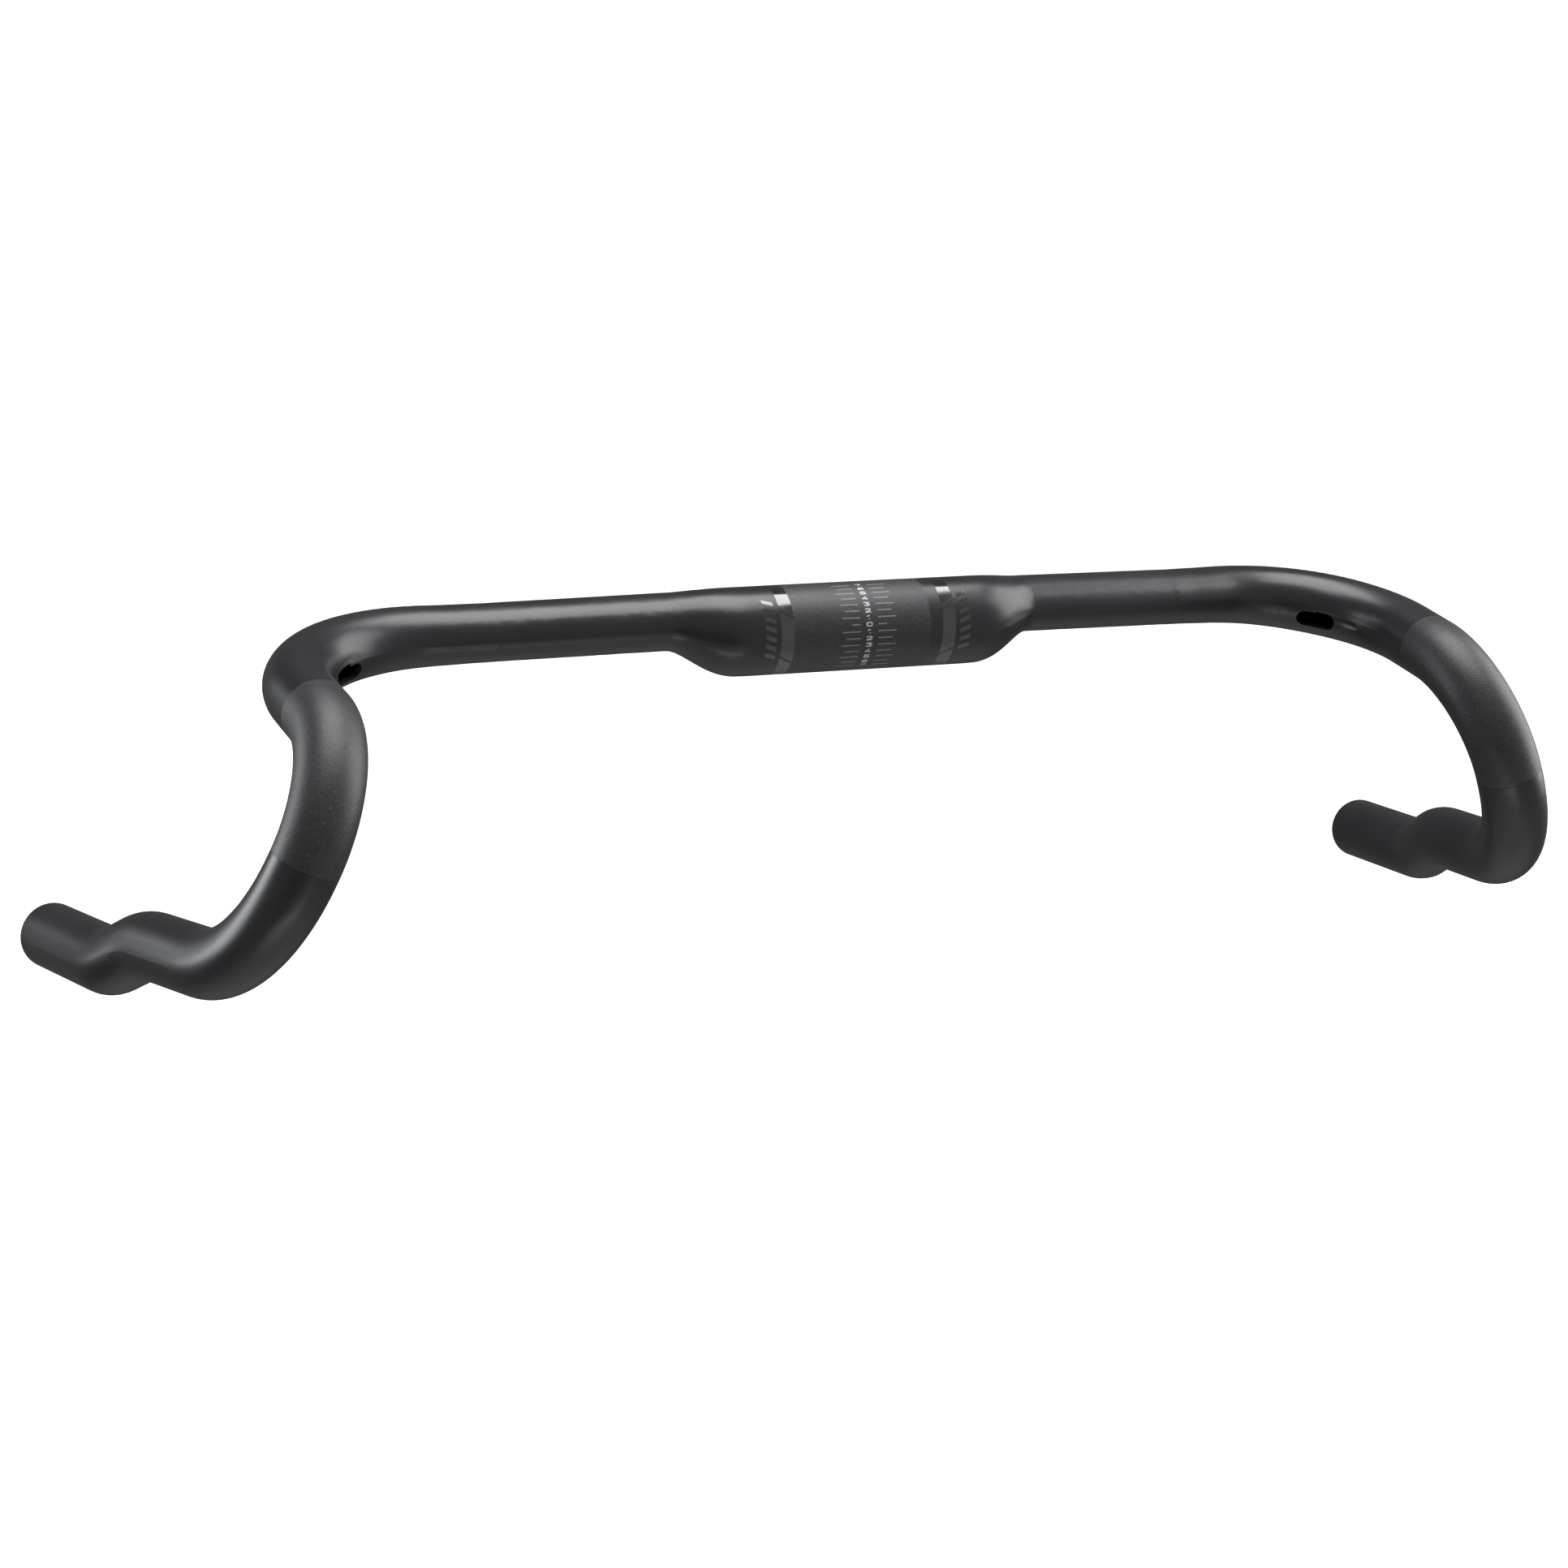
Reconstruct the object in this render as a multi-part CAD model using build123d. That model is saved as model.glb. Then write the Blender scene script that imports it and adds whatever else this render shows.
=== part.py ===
from build123d import *
from math import cos, degrees, radians, sin, tan
import os

os.makedirs("parts", exist_ok=True)

# A drop handlebar for a bicycle, of carbon fibre, in millimetres.
# Origin: the centre of the stem clamp zone. +X along the clamp axis, +Y towards the rider, +Z up.
# The hooks point to -Y. The right half is built, and the left half is its mirror image.

# Overall shape, on the centre line of the tube
half_width = 211.5            # where the tops would meet the ramp
flare = 60.0                  # how much further out the bar end is
reach = 92.5                  # the hook in front of the clamp axis
drop_depth = 118.0            # the bar end below the clamp axis
tail = 87.0                   # the bar end behind the clamp axis

# Clamp zone
clamp_diameter = 31.8
clamp_wall = 2.4
clamp_half_length = 43.0      # where the bulge starts to taper into the tops
bulge_half_length = 70.0      # where the taper ends
bulge_lean = 1.4              # above 1, the taper is steeper at its outer end
sleeve_wall = 1.2             # laminate that thickens the clamp zone from inside
sleeve_half_length = 38.0

# Tubes
tube_diameter = 23.8          # ramps, hooks and drops
tube_wall = 1.9
tops_depth = 24.2             # flattened tops, front to back
tops_height = 20.2
swell_before = 25.8           # how far before the bend the oval starts to round out
swell_length = 77.0
end_chamfer = 0.5             # outer edge of the open bar ends

# Lever zone
ramp_length = 14.6            # from the end of the bend to the coating
grip_length = 63.0
joint_from_grip = 32.0        # where the drop is bonded to the centre section
skin_thickness = 0.3
seam_step = 0.12              # fine step at each end of the coating
spigot_length = 30.0
spigot_wall = 1.2

# Cable ports
entry_turn = 50.0             # degrees round the outer bend of the tops
entry_dip = -18.0             # degrees below the front of the tube
entry_length = 16.0
entry_height = 8.0
exit_at = 24.0                # along the straight tops
exit_tilt = 20.0              # degrees from straight down, towards the rider
exit_length = 20.0
exit_height = 8.0
rim_wall = 0.8
rim_gap = 1.2                 # how far a port cutter runs past both faces of the wall

# Cable groove in the front of the bend, deepest at the entry port
groove_radius = 4.4
groove_depth = 1.5
groove_shift = 8.9            # its centre of turning, from the bend's towards the port
groove_lift = -2.4
groove_sweep = 58.0           # degrees about that centre, past where the groove fades out

# Clamp markings, inlaid flush
inlay = 0.15
skin_left = 28.6              # the grip skin ends nearer the centre on the right
skin_right = 23.8
band_start = 28.6
band_width = 5.0
band_slit = 0.8
band_slit_slant = 30.0
band_slit_angles = [32, 38, 150, 212, 218, 330]
mark_start = 35.4
mark_length = 4.0
mark_height = 1.5
mark_slant = 20.0
mark_rows = range(-3, 4)
mark_pitch = 12.0             # degrees round the clamp
scale_pitch = 9.0
scale_centre = 13.5           # degrees above the front of the clamp
scale_rows = range(-7, 8)
tick_start = 3.4
tick_height = 0.45
tick_centre = 3.3
tick_long = 7.0
tick_short = 5.6
numeral_width = 3.6
numeral_height = 1.6
overrun = 1.0                 # how far a cutter for a slit or a mark runs past its ring

# Lever position marks
lever_mark_size = 0.9
# Each mark's distance from the start of the coating, and its degrees round the tube from its front
lever_marks = [(24, 102), (42, 58), (46, 52), (50, 46), (54.5, 30), (58.5, 22)]

taper_sections = 9
bend_sections = 17

# Centre line of the right half, corner by corner, before its corners are rounded
tops_start = Vector(bulge_half_length, 6.5, 3.5)
tops_corner = Vector(half_width, 20.5, -0.7)
hook_top = Vector(half_width - 3, -reach, -12.5)
hook_bottom = Vector(half_width + flare - 32, 10 - reach, 32.5 - drop_depth)
palm_front = Vector(half_width + flare - 16.5, 0, 21 - drop_depth)
palm_rear = Vector(half_width + flare - 9, 23.5, 8 - drop_depth)
bar_end = Vector(half_width + flare, tail, -drop_depth)
corners = [tops_start, tops_corner, hook_top, hook_bottom, palm_front, palm_rear, bar_end]
bend_radii = [50, 37, 55, 42, 32]

clamp_radius = clamp_diameter / 2
tube_radius = tube_diameter / 2
bore_radius = tube_radius - tube_wall


def rounded_route(points, radii):
    """Runs and arcs of the centre line, in order."""
    edges = []
    at = points[0]
    for before, corner, after, radius in zip(points, points[1:], points[2:], radii):
        into = (corner - before).normalized()
        out = (after - corner).normalized()
        turn = radians(into.get_angle(out))
        start = corner - into * radius * tan(turn / 2)
        end = corner + out * radius * tan(turn / 2)
        inward = (out - into * into.dot(out)).normalized()
        centre = start + inward * radius
        middle = centre + ((start - centre) + (end - centre)).normalized() * radius
        edges.append(Edge.make_line(at, start))
        edges.append(Edge.make_three_point_arc(start, middle, end))
        at = end
    edges.append(Edge.make_line(at, points[-1]))
    return edges


route = rounded_route(corners, bend_radii)
tops_run = route[0]
tops_bend = route[1]
bend_normal = (tops_bend % 0).cross(tops_bend % 1).normalized() * -1
bend_end = tops_run.length + tops_bend.length
swell_start = tops_run.length - swell_before
grip_start = bend_end + ramp_length
grip_end = grip_start + grip_length
joint_at = grip_start + joint_from_grip
route_length = sum(edge.length for edge in route)


def stretch(start, end):
    """The centre line's edges between two distances along it."""
    edges = []
    passed = 0
    for edge in route:
        low = max(start - passed, 0) / edge.length
        high = min((end - passed) / edge.length, 1)
        if high - low > 1e-6:
            edges.append(edge.trim(low, high))
        passed += edge.length
    return edges


def place(distance):
    """Point and direction of the centre line at a distance along it."""
    passed = 0
    for edge in route:
        if distance <= passed + edge.length:
            share = (distance - passed) / edge.length
            return edge @ share, edge % share
        passed += edge.length


def carry(edge, face):
    """A flat face at the start of a run or an arc, carried to its end."""
    if edge.geom_type == GeomType.LINE:
        return extrude(face, amount=edge.length, dir=edge % 0)
    spoke = (edge @ 0) - edge.arc_center
    axis = Axis(edge.arc_center, spoke.cross(edge % 0))
    return revolve(face, axis, degrees(edge.length / edge.radius))


def tube(start, end, outer, inner):
    """Round tube along a stretch of the centre line."""
    pieces = []
    for edge in stretch(start, end):
        ring = Circle(outer)
        if inner > 0:
            ring = ring - Circle(inner)
        pieces.append(carry(edge, Plane(edge @ 0, z_dir=edge % 0) * ring))
    return Part() + pieces


def oval(point, direction, half_depth, half_height):
    """Oval section of the tops, its long axis from front to back."""
    plane = Plane(point, x_dir=direction.cross(bend_normal), z_dir=direction)
    return plane * Ellipse(half_depth, half_height)


def eased(share):
    """Smooth step from 0 to 1."""
    return share * share * (3 - 2 * share)


def taper(inset_clamp, inset_tube):
    """Bulge from the round clamp zone to the flattened tops."""
    sections = []
    for step in range(taper_sections):
        share = step / (taper_sections - 1)
        blend = eased(share ** bulge_lean)
        x = clamp_half_length + (tops_start.X - clamp_half_length) * share
        point = Vector(x, tops_start.Y * blend, tops_start.Z * blend)
        direction = Vector(1, 0, 0) * (1 - blend) + (tops_run % 0) * blend
        round_radius = clamp_radius - inset_clamp
        half_depth = round_radius + (tops_depth / 2 - inset_tube - round_radius) * blend
        half_height = round_radius + (tops_height / 2 - inset_tube - round_radius) * blend
        sections.append(oval(point, direction.normalized(), half_depth, half_height))
    return loft(sections)


def tops(inset):
    """Straight flattened tops."""
    face = oval(tops_run @ 0, tops_run % 0, tops_depth / 2 - inset, tops_height / 2 - inset)
    return extrude(face, amount=swell_start, dir=tops_run % 0)


def swollen(distance):
    """Half depth and half height of the section, between the tops and the ramp."""
    blend = eased(min((distance - swell_start) / swell_length, 1))
    half_depth = tops_depth / 2 + (tube_radius - tops_depth / 2) * blend
    half_height = tops_height / 2 + (tube_radius - tops_height / 2) * blend
    return half_depth, half_height


def outer_bend(inset):
    """End of the tops and the bend, from the oval section to the round one."""
    sections = []
    for step in range(bend_sections):
        distance = swell_start + (bend_end - swell_start) * step / (bend_sections - 1)
        point, direction = place(distance)
        half_depth, half_height = swollen(distance)
        sections.append(oval(point, direction, half_depth - inset, half_height - inset))
    return loft(sections)


def clamp_ring(start, end, outer, inner):
    """Ring round the clamp axis between two places along it."""
    plane = Plane((start, 0, 0), z_dir=(1, 0, 0))
    return extrude(plane * (Circle(outer) - Circle(inner)), amount=end - start)


def clamp_pad(x_start, x_end, height, angle, slant=0):
    """Upright block through the clamp's surface, at an angle above its front."""
    across = Vector(0, -cos(radians(angle)), sin(radians(angle)))
    centre = across * clamp_radius + Vector((x_start + x_end) / 2, 0, 0)
    along = Vector(1, 0, 0).rotate(Axis((0, 0, 0), across), slant)
    plane = Plane(centre, x_dir=along, z_dir=across)
    return plane * Box(x_end - x_start, height, clamp_radius / 2)


def slot_plane(point, direction, normal, radius):
    """Plane of a port's mouth, on the surface of the tube."""
    return Plane(point + normal * radius, x_dir=direction, z_dir=normal)


def slot_plug(plane, length, height):
    """Round-ended plug through the wall."""
    face = plane.offset(-tube_wall - rim_gap) * SlotOverall(length, height)
    return extrude(face, amount=tube_wall + 3 * rim_gap, dir=plane.z_dir)


def entry_plane():
    """Middle of the entry port's mouth, on the inside of the bend."""
    distance = tops_run.length + radians(entry_turn) * tops_bend.radius
    point, direction = place(distance)
    inward = direction.cross(bend_normal)
    normal = inward * cos(radians(entry_dip)) + bend_normal * sin(radians(entry_dip))
    return slot_plane(point, direction, normal, swollen(distance)[0])


def exit_plane():
    """Middle of the exit port's mouth, under the tops."""
    direction = tops_run % 0
    front = direction.cross(bend_normal)
    normal = bend_normal * -cos(radians(exit_tilt)) - front * sin(radians(exit_tilt))
    point = tops_run @ (exit_at / tops_run.length)
    return slot_plane(point, direction, normal, tops_height / 2)


def cable_groove():
    """Channel along the inside of the bend, running out to the surface before the lever zone."""
    point, direction = place(tops_run.length + radians(entry_turn) * tops_bend.radius)
    spoke = (point - tops_bend.arc_center).normalized()
    centre = tops_bend.arc_center + bend_normal * groove_lift + spoke * groove_shift
    reach_in = tops_bend.radius - tube_radius - groove_radius + groove_depth - groove_shift
    axis = Axis(centre, spoke.cross(direction))
    section = Plane(centre + spoke * reach_in, z_dir=direction) * Circle(groove_radius)
    return revolve(section, axis, groove_sweep)


def both_sides(half):
    return half + mirror(half, about=Plane.YZ)


def half_body(inset_clamp, inset_tube, ramp_radius, lever_radius):
    """Solid right half of the centre section, or of the space inside it."""
    pieces = [
        clamp_ring_solid(clamp_radius - inset_clamp),
        taper(inset_clamp, inset_tube),
        tops(inset_tube),
        outer_bend(inset_tube),
        tube(bend_end, grip_start, ramp_radius, 0),
        tube(grip_start, joint_at, lever_radius, 0),
    ]
    return Part() + pieces


def clamp_ring_solid(radius):
    plane = Plane((0, 0, 0), z_dir=(1, 0, 0))
    return extrude(plane * Circle(radius), amount=clamp_half_length)


def centre_wall():
    outer = half_body(0, 0, tube_radius, tube_radius - skin_thickness)
    inner = half_body(clamp_wall, tube_wall, bore_radius, bore_radius)
    return outer - inner


def inlays():
    """Rings of the clamp zone that are recessed for the skin, bands and marks."""
    outer = clamp_radius
    inner = clamp_radius - inlay
    grip_ring = clamp_ring(-skin_left, skin_right, outer, inner)
    band_ring = clamp_ring(band_start, band_start + band_width, outer, inner)
    mark_ring = clamp_ring(mark_start, mark_start + mark_length, outer, inner)
    return grip_ring, band_ring, mark_ring


def scale_ticks(skin):
    """Lines on both sides of the numerals, long and short by turns."""
    blocks = []
    for row in scale_rows:
        length = tick_long if row % 2 else tick_short
        if row == 0:
            length = tick_centre
        angle = scale_centre + row * scale_pitch
        blocks.append(clamp_pad(tick_start, tick_start + length, tick_height, angle))
        blocks.append(clamp_pad(-tick_start - length, -tick_start, tick_height, angle))
    return skin & (Part() + blocks)


def scale_numerals(skin):
    """One small pad for each number of the scale."""
    blocks = []
    for row in scale_rows:
        angle = scale_centre + row * scale_pitch
        blocks.append(clamp_pad(-numeral_width / 2, numeral_width / 2, numeral_height, angle))
    return skin & (Part() + blocks)


def gloss_band(ring):
    """Ring with slanted slits."""
    slits = []
    for angle in band_slit_angles:
        start = band_start - overrun
        end = band_start + band_width + overrun
        slits.append(clamp_pad(start, end, band_slit, angle, band_slit_slant))
    return ring - slits


def band_marks(ring):
    """A row of plain slanted dashes outside the band, front and back."""
    dashes = []
    for side in (0, 180):
        for row in mark_rows:
            angle = scale_centre + side + row * mark_pitch
            start = mark_start - overrun
            end = mark_start + mark_length + overrun
            dashes.append(clamp_pad(start, end, mark_height, angle, mark_slant))
    return ring & (Part() + dashes)


def lever_scale(skin):
    """Square dots along the inner side of the lever zone."""
    dots = []
    for distance, angle in lever_marks:
        point, direction = place(grip_start + distance)
        front = direction.cross(Vector(0, 0, 1)).normalized()
        upper = front.cross(direction)
        normal = front * cos(radians(angle)) + upper * sin(radians(angle))
        plane = Plane(point + normal * tube_radius, x_dir=direction, z_dir=normal)
        dots.append(plane * Box(lever_mark_size, lever_mark_size, 4 * skin_thickness))
    return skin & (Part() + dots)


def outer_rim(piece, centre):
    """The tube's outer circle round a point of the centre line."""
    for edge in piece.edges().filter_by(GeomType.CIRCLE):
        if abs(edge.radius - tube_radius) < 0.01 and (edge.arc_center - centre).length < 0.01:
            return edge


def export_pair(name, right_piece):
    """Write the right piece and its mirror image."""
    write("right_" + name, right_piece)
    write("left_" + name, mirror(right_piece, about=Plane.YZ))


def write(name, piece):
    """Save one node."""
    export_step(piece, "parts/" + name + ".step")


# Cable ports: each rim fills the outer part of its slot
wall = centre_wall()
entry = entry_plane()
leave = exit_plane()
entry_plug = slot_plug(entry, entry_length, entry_height)
entry_hole = slot_plug(entry, entry_length - 2 * rim_wall, entry_height - 2 * rim_wall)
exit_plug = slot_plug(leave, exit_length, exit_height)
exit_hole = slot_plug(leave, exit_length - 2 * rim_wall, exit_height - 2 * rim_wall)
groove = cable_groove()
entry_rim = (wall & entry_plug) - entry_hole - groove
exit_rim = (wall & exit_plug) - exit_hole

# Centre section: tops, clamp bulge and both bends
grip_ring, band_ring, mark_ring = inlays()
band = gloss_band(band_ring)
marks = band_marks(mark_ring)
half_centre = wall - entry_plug - exit_plug - groove - band - marks
write("centre_section", both_sides(half_centre) - grip_ring)

# Clamp zone
ticks = scale_ticks(grip_ring)
numerals = scale_numerals(grip_ring)
sleeve_outer = clamp_radius - clamp_wall
write("clamp_grip_skin", grip_ring - ticks - numerals)
write("clamp_scale_ticks", ticks)
write("clamp_scale_numerals", numerals)
sleeve_inner = sleeve_outer - sleeve_wall
write("clamp_inner_sleeve", clamp_ring(-sleeve_half_length, sleeve_half_length, sleeve_outer, sleeve_inner))
export_pair("gloss_band", band)
export_pair("band_marks", marks)

# Drops, with the sleeve that bonds each one to the centre section
drop = tube(joint_at, grip_end, tube_radius - skin_thickness, bore_radius)
drop += tube(grip_end, route_length, tube_radius, bore_radius)
drop = chamfer(outer_rim(drop, bar_end), end_chamfer)
export_pair("drop", drop)
half_spigot = spigot_length / 2
spigot = tube(joint_at - half_spigot, joint_at + half_spigot, bore_radius, bore_radius - spigot_wall)
export_pair("joint_spigot", spigot)

# Lever zone
lever_skin = tube(grip_start, grip_end, tube_radius - seam_step, tube_radius - skin_thickness)
lever_skin += tube(grip_start + seam_step, grip_end - seam_step, tube_radius, tube_radius - skin_thickness)
lever_dots = lever_scale(lever_skin)
export_pair("lever_grip_skin", lever_skin - lever_dots)
export_pair("lever_scale", lever_dots)

# Port rims
export_pair("entry_port_rim", entry_rim)
export_pair("exit_port_rim", exit_rim)
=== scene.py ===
import math

import bmesh
import bpy
from mathutils import Matrix, Vector


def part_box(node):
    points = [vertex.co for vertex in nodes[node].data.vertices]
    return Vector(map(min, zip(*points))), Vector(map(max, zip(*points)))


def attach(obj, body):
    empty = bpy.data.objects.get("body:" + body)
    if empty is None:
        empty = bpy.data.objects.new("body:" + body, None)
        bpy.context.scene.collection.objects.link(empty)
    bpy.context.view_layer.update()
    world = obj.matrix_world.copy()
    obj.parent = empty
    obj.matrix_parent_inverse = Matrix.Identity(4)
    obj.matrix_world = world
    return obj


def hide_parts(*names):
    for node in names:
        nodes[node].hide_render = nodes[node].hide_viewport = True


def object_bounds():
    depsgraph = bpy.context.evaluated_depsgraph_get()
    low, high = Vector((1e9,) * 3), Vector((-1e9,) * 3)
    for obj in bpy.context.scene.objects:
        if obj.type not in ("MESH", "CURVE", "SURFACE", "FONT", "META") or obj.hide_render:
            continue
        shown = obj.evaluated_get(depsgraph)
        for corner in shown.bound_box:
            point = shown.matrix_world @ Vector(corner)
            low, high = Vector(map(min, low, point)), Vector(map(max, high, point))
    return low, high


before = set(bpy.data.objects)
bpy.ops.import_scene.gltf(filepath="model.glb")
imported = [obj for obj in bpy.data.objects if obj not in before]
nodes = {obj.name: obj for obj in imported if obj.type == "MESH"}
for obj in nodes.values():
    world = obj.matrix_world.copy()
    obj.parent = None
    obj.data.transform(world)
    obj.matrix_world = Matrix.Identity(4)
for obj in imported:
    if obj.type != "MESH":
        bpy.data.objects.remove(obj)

cad_low, cad_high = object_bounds()

# Lengths are in metres, angles in degrees. Azimuth 0 is the front of the bar, 90 its right.

# ---------------------------------------------------------------- stage
CAMERA_PLACE = Vector((-0.49073, -1.12436, 0.25807))
CAMERA_AIM = Vector((-0.02638, -0.00466, -0.05562))
CAMERA_ROLL = 1.818
CAMERA_NEAR = 0.05
CAMERA_FAR = 100
LENS = 80.31                  # mm, as the sensor
SENSOR = 36.0

SEEN_WHITE = 1.0              # strength of the surroundings as the camera sees them
ROOM_FRONT = 0.48             # and as everything else does
ROOM_BACK = 0.13
ROOM_BELOW = 0.35             # added under the bar
FRONT_TO_BACK = (-0.9, 0.5)   # y of the directions where the room turns from front to back
BELOW_FADE = (-0.95, -0.6)    # z of the directions where the light from below ends
DARK_FRONT = (-28, -20)       # azimuth and elevation of a darker patch of the room
DARK_CORE = 12                # angles off its middle where it is full and where it ends
DARK_EDGE = 35
DARK_SHARE = 0.45

FLOOR_HALF = 40.0
FLOOR_GAP = 0.5
FLOOR_GLOW = 0.85
PAPER = (0.93, 0.93, 0.935, 1)
PAPER_ROUGHNESS = 0.9
WHITE = (1, 1, 1, 1)

SOFT_BOXES = [
    # name, azimuth, elevation, distance, width, height, radiance, colour
    ("overhead", 165, 85, 1.9, 1.6, 1.6, 7.0, (0.99, 0.99, 1.0)),
    ("right", 88, 22, 1.9, 1.6, 2.2, 4.4, (0.99, 0.99, 1.0)),
    ("left", -112, 6, 0.85, 0.34, 0.50, 6.5, (0.95, 0.975, 1.0)),
    ("left_back", -131, 14, 1.9, 0.75, 0.65, 2.0, (0.95, 0.975, 1.0)),
    ("low_strip", -20, -46, 1.9, 1.4, 0.14, 5.0, (0.97, 0.985, 1.0)),
]


def camera():
    """Camera at the photograph's viewing angle."""
    ahead = (CAMERA_AIM - CAMERA_PLACE).normalized()
    side = ahead.cross(Vector((0, 0, 1))).normalized()
    up = side.cross(ahead)
    roll = math.radians(CAMERA_ROLL)
    right = side * math.cos(roll) + up * math.sin(roll)
    top = up * math.cos(roll) - side * math.sin(roll)
    data = bpy.data.cameras.new("camera")
    data.lens = LENS
    data.sensor_width = SENSOR
    data.clip_start = CAMERA_NEAR
    data.clip_end = CAMERA_FAR
    shot = bpy.data.objects.new("camera", data)
    shot.matrix_world = Matrix((
        (right.x, top.x, -ahead.x, CAMERA_PLACE.x),
        (right.y, top.y, -ahead.y, CAMERA_PLACE.y),
        (right.z, top.z, -ahead.z, CAMERA_PLACE.z),
        (0, 0, 0, 1),
    ))
    bpy.context.scene.collection.objects.link(shot)
    bpy.context.scene.camera = shot


def direction(azimuth, elevation):
    """Unit vector from the bar towards an azimuth and elevation."""
    a, e = math.radians(azimuth), math.radians(elevation)
    return Vector((math.sin(a) * math.cos(e), -math.cos(a) * math.cos(e), math.sin(e)))


def soft_box(name, azimuth, elevation, distance, width, height, radiance, colour):
    """Area light that faces the bar from a direction."""
    away = direction(azimuth, elevation)
    data = bpy.data.lights.new(name, "AREA")
    data.shape = "RECTANGLE"
    data.size = width
    data.size_y = height
    data.energy = radiance * math.pi * width * height
    data.color = colour
    lamp = bpy.data.objects.new(name, data)
    lamp.location = (cad_low + cad_high) / 2 + away * distance
    lamp.rotation_mode = "QUATERNION"
    lamp.rotation_quaternion = away.to_track_quat("Z", "Y")
    lamp.visible_camera = False
    bpy.context.scene.collection.objects.link(lamp)


def ramp(tree, source, low, high, to_low, to_high):
    """Smooth step of a node's output between two values."""
    node = tree.nodes.new("ShaderNodeMapRange")
    node.interpolation_type = "SMOOTHSTEP"
    node.inputs["From Min"].default_value = low
    node.inputs["From Max"].default_value = high
    node.inputs["To Min"].default_value = to_low
    node.inputs["To Max"].default_value = to_high
    tree.links.new(source, node.inputs["Value"])
    return node.outputs["Result"]


def combine(tree, operation, first, second):
    """Add or multiply two values, each a node's output or a number."""
    node = tree.nodes.new("ShaderNodeMath")
    node.operation = operation
    for socket, value in zip(node.inputs, (first, second)):
        if isinstance(value, (int, float)):
            socket.default_value = value
        else:
            tree.links.new(value, socket)
    return node.outputs["Value"]


def surroundings():
    """White to the camera; for everything else a dim room, darker behind, lighter below."""
    world = bpy.data.worlds.new("surroundings")
    world.use_nodes = True
    tree = world.node_tree
    link = tree.links.new
    way = tree.nodes.new("ShaderNodeTexCoord").outputs["Generated"]
    axes = tree.nodes.new("ShaderNodeSeparateXYZ")
    link(way, axes.inputs[0])
    depth = ramp(tree, axes.outputs["Y"], *FRONT_TO_BACK, ROOM_FRONT, ROOM_BACK)
    below = ramp(tree, axes.outputs["Z"], *BELOW_FADE, ROOM_BELOW, 0.0)
    room = combine(tree, "ADD", depth, below)
    towards = tree.nodes.new("ShaderNodeVectorMath")
    towards.operation = "DOT_PRODUCT"
    towards.inputs[1].default_value = direction(*DARK_FRONT)
    link(way, towards.inputs[0])
    edge, core = math.cos(math.radians(DARK_EDGE)), math.cos(math.radians(DARK_CORE))
    patch = ramp(tree, towards.outputs["Value"], edge, core, 1.0, DARK_SHARE)
    seen = tree.nodes.new("ShaderNodeLightPath").outputs["Is Camera Ray"]
    strength = tree.nodes.new("ShaderNodeMix")
    link(seen, strength.inputs[0])
    link(combine(tree, "MULTIPLY", room, patch), strength.inputs[2])
    strength.inputs[3].default_value = SEEN_WHITE
    background = tree.nodes["Background"]
    background.inputs["Color"].default_value = WHITE
    link(strength.outputs[0], background.inputs["Strength"])
    bpy.context.scene.world = world


def pale_floor():
    """Plain pale floor well below the bar, which hangs as if from its stem.

    Only the camera sees it: it isn't reflected in the bar and holds back no light from below.
    """
    mesh = bpy.data.meshes.new("floor")
    s, z = FLOOR_HALF, cad_low.z - FLOOR_GAP
    mesh.from_pydata([(-s, -s, z), (s, -s, z), (s, s, z), (-s, s, z)], [], [(0, 1, 2, 3)])
    floor = bpy.data.objects.new("floor", mesh)
    floor.visible_glossy = False
    floor.visible_diffuse = False
    floor.visible_shadow = False
    bpy.context.scene.collection.objects.link(floor)
    paper = bpy.data.materials.new("floor_paper")
    paper.use_nodes = True
    shader = paper.node_tree.nodes["Principled BSDF"]
    shader.inputs["Base Color"].default_value = PAPER
    shader.inputs["Roughness"].default_value = PAPER_ROUGHNESS
    shader.inputs["Emission Color"].default_value = WHITE
    shader.inputs["Emission Strength"].default_value = FLOOR_GLOW
    mesh.materials.append(paper)


def studio():
    """Surroundings, floor and soft boxes."""
    bpy.context.scene.view_settings.view_transform = "Standard"
    surroundings()
    pale_floor()
    for box in SOFT_BOXES:
        soft_box(*box)


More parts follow.
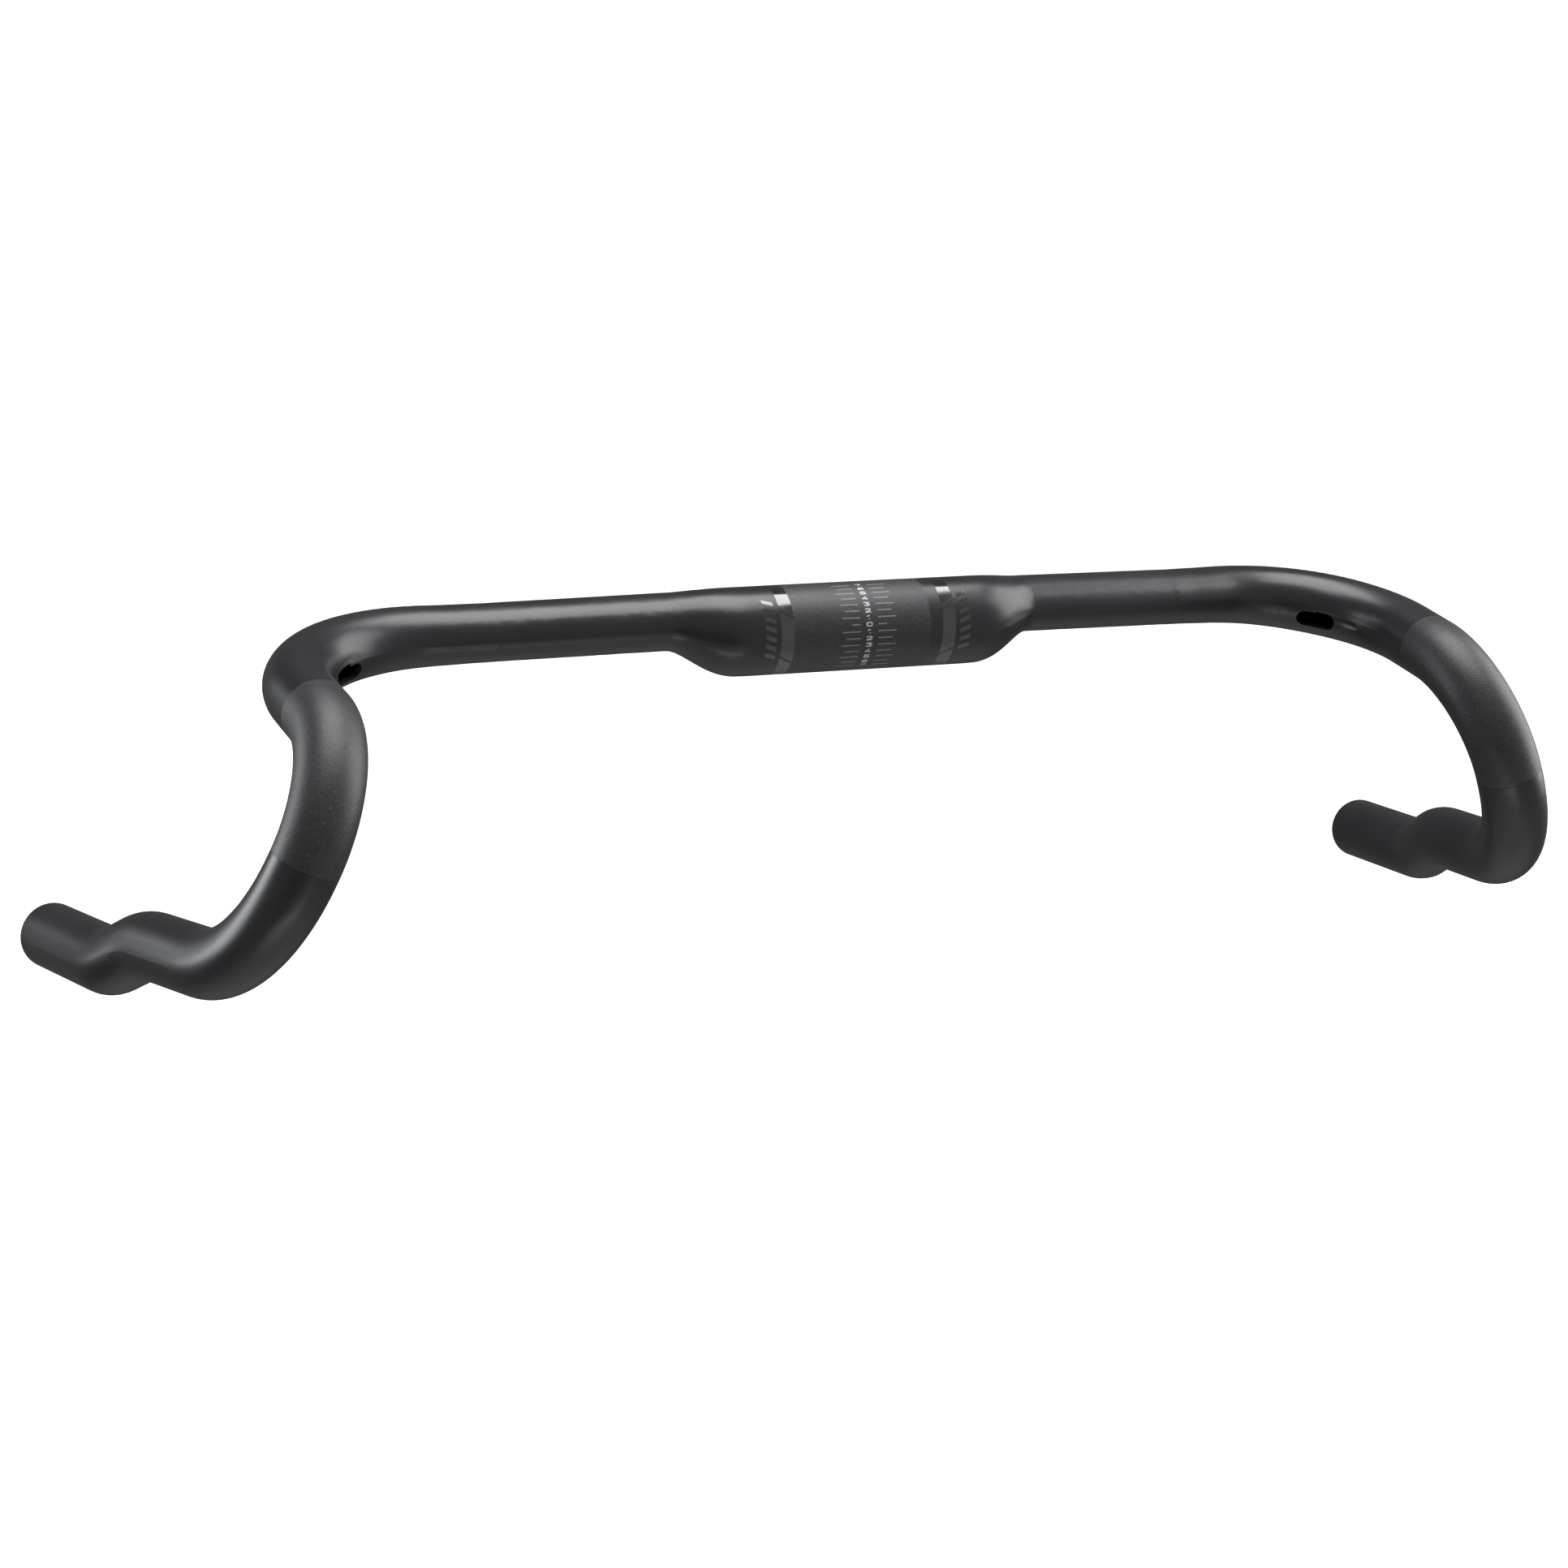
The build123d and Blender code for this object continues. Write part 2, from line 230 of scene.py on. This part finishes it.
# ---------------------------------------------------------------- materials
class Finish:
    """A material and short calls for its nodes, in the coordinates of the node it is on."""

    def __init__(self, name):
        self.material = bpy.data.materials.new("look_" + name)
        self.material.use_nodes = True
        self.tree = self.material.node_tree
        self.shader = self.tree.nodes["Principled BSDF"]
        self.coords = self.tree.nodes.new("ShaderNodeTexCoord").outputs["Object"]

    def link(self, source, target):
        self.tree.links.new(source, target)

    def noise(self, scale, detail, rough=0.55, distortion=0.0, stretch=None, turn=(0, 0, 0)):
        """Noise, stretched into streaks when a stretch is given."""
        node = self.tree.nodes.new("ShaderNodeTexNoise")
        node.inputs["Scale"].default_value = scale
        node.inputs["Detail"].default_value = detail
        node.inputs["Roughness"].default_value = rough
        node.inputs["Distortion"].default_value = distortion
        self.link(self.streaks(stretch, turn) if stretch else self.coords, node.inputs["Vector"])
        return node.outputs["Fac"]

    def streaks(self, stretch, turn):
        node = self.tree.nodes.new("ShaderNodeMapping")
        node.inputs["Scale"].default_value = stretch
        node.inputs["Rotation"].default_value = turn
        self.link(self.coords, node.inputs["Vector"])
        return node.outputs["Vector"]

    def cells(self, scale):
        """Distance to the nearest of scattered points, for separate grains."""
        node = self.tree.nodes.new("ShaderNodeTexVoronoi")
        node.inputs["Scale"].default_value = scale
        self.link(self.coords, node.inputs["Vector"])
        return node.outputs["Distance"]

    def level(self, source, low, high, to_low=0.0, to_high=1.0):
        return ramp(self.tree, source, low, high, to_low, to_high)

    def add(self, first, second):
        return combine(self.tree, "ADD", first, second)

    def times(self, first, second):
        return combine(self.tree, "MULTIPLY", first, second)

    def mix(self, share, first, second):
        """Blend of two colours, each a node's output or a tuple."""
        node = self.tree.nodes.new("ShaderNodeMix")
        node.data_type = "RGBA"
        self.link(share, node.inputs[0])
        for socket, value in ((node.inputs[6], first), (node.inputs[7], second)):
            if isinstance(value, tuple):
                socket.default_value = (*value, 1)
            else:
                self.link(value, socket)
        return node.outputs[2]

    def bump(self, height, distance, strength, under=None):
        """Surface relief, on top of another one when it is given."""
        node = self.tree.nodes.new("ShaderNodeBump")
        node.inputs["Distance"].default_value = distance
        node.inputs["Strength"].default_value = strength
        self.link(height, node.inputs["Height"])
        if under is not None:
            self.link(under, node.inputs["Normal"])
        return node.outputs["Normal"]

    def done(self, colour, rough, normal, ior):
        """Joins the parts to the shader and gives the material."""
        self.link(colour, self.shader.inputs["Base Color"])
        self.link(rough, self.shader.inputs["Roughness"])
        self.link(normal, self.shader.inputs["Normal"])
        self.shader.inputs["IOR"].default_value = ior
        return self.material


def carbon_satin():
    """Matt clear coat over black carbon: faint clouding, fine orange peel and a few scuffs."""
    f = Finish("carbon_satin")
    cloud = f.noise(scale=14, detail=3)
    peel = f.noise(scale=900, detail=2)
    ripple = f.noise(scale=220, detail=2)
    streak = f.noise(60, 6, rough=0.7, distortion=1.2, stretch=(1, 6, 6), turn=(0.3, 0.2, 0.5))
    scuff = f.level(streak, 0.60, 0.74)
    colour = f.mix(f.level(cloud, 0.3, 0.7), (0.0058, 0.0061, 0.0078), (0.0092, 0.0097, 0.0122))
    colour = f.mix(f.times(scuff, 0.25), colour, (0.022, 0.022, 0.024))
    rough = f.add(f.level(cloud, 0.3, 0.7, 0.30, 0.35), f.times(scuff, 0.08))
    rough = f.add(rough, f.level(peel, 0.3, 0.7, -0.015, 0.015))
    normal = f.bump(peel, 0.00001, 0.5, under=f.bump(ripple, 0.00004, 0.35))
    return f.done(colour, rough, normal, ior=1.5)


def grip_coating():
    """Anti-slip coating: dense fine grit in a matt binder, with dark pits and pale specks."""
    f = Finish("grip_coating")
    grit = f.cells(scale=1500)
    grain = f.noise(scale=1300, detail=3, rough=0.65)
    cloud = f.noise(scale=30, detail=3)
    pit = f.level(f.noise(scale=800, detail=2, rough=0.6), 0.34, 0.42, 1.0, 0.0)
    speck = f.level(f.noise(scale=1900, detail=1, rough=0.5), 0.66, 0.74)
    colour = f.mix(f.level(grain, 0.35, 0.7), (0.0070, 0.0072, 0.0090), (0.0190, 0.0195, 0.0230))
    colour = f.mix(f.times(speck, 0.45), colour, (0.07, 0.07, 0.073))
    colour = f.mix(f.times(pit, 0.8), colour, (0.003, 0.003, 0.004))
    rough = f.level(cloud, 0.3, 0.7, 0.46, 0.52)
    normal = f.bump(f.add(f.times(grit, -1.0), grain), 0.00008, 0.4)
    return f.done(colour, rough, normal, ior=1.55)


def gloss_black():
    """Gloss print over the carbon, with faint wiping marks."""
    f = Finish("gloss_black")
    cloud = f.noise(scale=120, detail=4)
    streak = f.noise(400, 5, rough=0.7, distortion=0.6, stretch=(1, 5, 5), turn=(0.4, 0.0, 0.3))
    wipe = f.level(streak, 0.58, 0.72)
    colour = f.mix(f.level(cloud, 0.3, 0.7), (0.006, 0.006, 0.007), (0.010, 0.010, 0.0115))
    rough = f.add(f.level(cloud, 0.3, 0.7, 0.10, 0.14), f.times(wipe, 0.10))
    return f.done(colour, rough, f.bump(cloud, 0.00002, 0.25), ior=1.9)


def print_ink(name, fresh, rubbed):
    """Thin screen print, slightly worn."""
    f = Finish(name)
    worn = f.level(f.noise(scale=1500, detail=5, rough=0.65), 0.50, 0.72)
    colour = f.mix(worn, fresh, rubbed)
    rough = f.level(worn, 0.0, 1.0, 0.42, 0.58)
    return f.done(colour, rough, f.bump(worn, 0.00002, 0.4), ior=1.45)


def inner_laminate():
    """Bare inside of the layup: resin-rich, with the bag's wrinkles."""
    f = Finish("inner_laminate")
    wrinkle = f.noise(scale=160, detail=5, rough=0.6, distortion=1.5)
    fibre = f.noise(scale=1200, detail=2, rough=0.5, stretch=(1, 8, 8))
    colour = f.mix(f.level(wrinkle, 0.35, 0.65), (0.040, 0.040, 0.041), (0.085, 0.085, 0.085))
    rough = f.level(fibre, 0.3, 0.7, 0.35, 0.60)
    normal = f.bump(fibre, 0.00004, 0.5, under=f.bump(wrinkle, 0.0003, 0.6))
    return f.done(colour, rough, normal, ior=1.5)


def port_rim():
    """Bonded rim of a cable port, moulded in black, rubbed brighter by the hoses."""
    f = Finish("port_rim")
    rub = f.level(f.noise(scale=500, detail=5, rough=0.65, distortion=0.8), 0.48, 0.70)
    colour = f.mix(rub, (0.010, 0.010, 0.011), (0.030, 0.030, 0.032))
    rough = f.level(rub, 0.0, 1.0, 0.34, 0.24)
    return f.done(colour, rough, f.bump(rub, 0.00003, 0.5), ior=1.5)


FINISHES = {
    "carbon_satin": carbon_satin(),
    "grip_coating": grip_coating(),
    "gloss_black": gloss_black(),
    "scale_grey": print_ink("scale_grey", (0.17, 0.17, 0.18), (0.05, 0.05, 0.053)),
    "number_grey": print_ink("number_grey", (0.55, 0.55, 0.56), (0.22, 0.22, 0.225)),
    "faint_grey": print_ink("faint_grey", (0.050, 0.050, 0.053), (0.022, 0.022, 0.024)),
    "inner_laminate": inner_laminate(),
    "port_rim": port_rim(),
}


def dress_nodes():
    """Gives each node's slots the finish of their name; the lever marks are a fainter print."""
    for name, node in nodes.items():
        for slot in node.material_slots:
            finish = "faint_grey" if name.endswith("lever_scale") else slot.material.name
            slot.material = FINISHES[finish]


# ---------------------------------------------------------------- clamp scale numbers
CLAMP_RADIUS = 0.0159
SCALE_CENTRE = 13.5           # angle of the middle row above the front of the clamp
SCALE_PITCH = 9.0
SCALE_ROWS = range(-7, 8)
DIGIT_WIDTH = 0.00200
DIGIT_HEIGHT = 0.00159        # over the stroke's thickness
STROKE = 0.00034
INK_RISE = 0.00001            # above and into the coating
INK_DEPTH = 0.00008
PAD_HEIGHT = 0.0016           # of the coating that carries each number
PAD_DEPTH = 0.00015
PAD_STEPS = 4
ROUND_STEPS = 4               # corners round half a stroke end

# Each digit as one stroke in a box from (0, 0) to (1, 2)
DIGITS = {
    0: [(0.3, 0), (0, 0.4), (0, 1.6), (0.3, 2), (0.7, 2), (1, 1.6), (1, 0.4), (0.7, 0), (0.3, 0)],
    1: [(0.15, 1.55), (0.55, 2), (0.55, 0)],
    2: [(0, 1.6), (0.3, 2), (0.7, 2), (1, 1.6), (1, 1.3), (0, 0), (1, 0)],
    3: [(0, 2), (1, 2), (0.45, 1.15), (1, 0.75), (1, 0.35), (0.7, 0), (0.3, 0), (0, 0.35)],
    4: [(0.75, 0), (0.75, 2), (0, 0.6), (1, 0.6)],
    5: [(0.95, 2), (0.1, 2), (0.05, 1.15), (0.7, 1.2), (1, 0.85), (1, 0.35), (0.7, 0), (0, 0.1)],
    6: [(0.9, 2), (0.3, 1.7), (0, 1), (0, 0.4), (0.3, 0),
        (0.7, 0), (1, 0.4), (1, 0.8), (0.7, 1.1), (0, 0.85)],
    7: [(0, 2), (1, 2), (0.35, 0)],
}


def on_clamp(along, around, radius):
    """Point at a distance along the clamp axis and an arc length above its front."""
    angle = around / CLAMP_RADIUS
    return Vector((along, -radius * math.cos(angle), radius * math.sin(angle)))


def slab(mesh, outline, bottom, top, finish):
    """Closed plate on the clamp between two radii, from an outline of (along, around) points."""
    low = [mesh.verts.new(on_clamp(along, around, bottom)) for along, around in outline]
    high = [mesh.verts.new(on_clamp(along, around, top)) for along, around in outline]
    faces = [mesh.faces.new(high), mesh.faces.new(low[::-1])]
    for i in range(len(outline)):
        j = (i + 1) % len(outline)
        faces.append(mesh.faces.new((low[i], low[j], high[j], high[i])))
    for face in faces:
        face.material_index = finish


def pad_outline(half_width, middle):
    """Rectangle round one number, stepped along its sides so that it follows the clamp."""
    bottom = middle - PAD_HEIGHT / 2
    top = middle + PAD_HEIGHT / 2
    sides = [bottom + PAD_HEIGHT * i / PAD_STEPS for i in range(1, PAD_STEPS)]
    right = [(half_width, around) for around in [bottom, *sides, top]]
    left = [(-half_width, around) for around in [top, *sides[::-1]]]
    return [(-half_width, bottom), *right, *left]


def stroke_outline(start, end):
    """Outline of one straight piece of a stroke, with rounded-off ends."""
    (ax, ay), (bx, by) = start, end
    length = math.hypot(bx - ax, by - ay)
    ux, uy = (bx - ax) / length, (by - ay) / length
    outline = []
    for (x, y), turn in ((end, -90), (start, 90)):
        for step in range(ROUND_STEPS + 1):
            angle = math.radians(turn + step * 180 / ROUND_STEPS)
            c, s = math.cos(angle) * STROKE / 2, math.sin(angle) * STROKE / 2
            outline.append((x + ux * c - uy * s, y + uy * c + ux * s))
    return outline


def number(mesh, digit, middle):
    """One digit, printed round a place above the front of the clamp."""
    placed = []
    for x, y in DIGITS[digit]:
        along = (x - 0.5) * DIGIT_WIDTH
        placed.append((along, middle + (y / 2 - 0.5) * (DIGIT_HEIGHT - STROKE)))
    for start, end in zip(placed, placed[1:]):
        outline = stroke_outline(start, end)
        slab(mesh, outline, CLAMP_RADIUS - INK_DEPTH, CLAMP_RADIUS + INK_RISE, 1)


def scale_numbers():
    """Printed numbers counting up both ways from the middle row, on the coating round them."""
    mesh = bmesh.new()
    low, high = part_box("clamp_scale_numerals")
    half_pad = (high.x - low.x) / 2
    for row in SCALE_ROWS:
        middle = math.radians(SCALE_CENTRE + row * SCALE_PITCH) * CLAMP_RADIUS
        slab(mesh, pad_outline(half_pad, middle), CLAMP_RADIUS - PAD_DEPTH, CLAMP_RADIUS, 0)
        number(mesh, abs(row), middle)
    data = bpy.data.meshes.new("scale_numbers")
    mesh.normal_update()
    mesh.to_mesh(data)
    mesh.free()
    piece = bpy.data.objects.new("scale_numbers", data)
    bpy.context.scene.collection.objects.link(piece)
    data.materials.append(FINISHES["grip_coating"])
    data.materials.append(FINISHES["number_grey"])
    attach(piece, "root")
    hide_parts("clamp_scale_numerals")


# ---------------------------------------------------------------- the scene
dress_nodes()
scale_numbers()
camera()
studio()
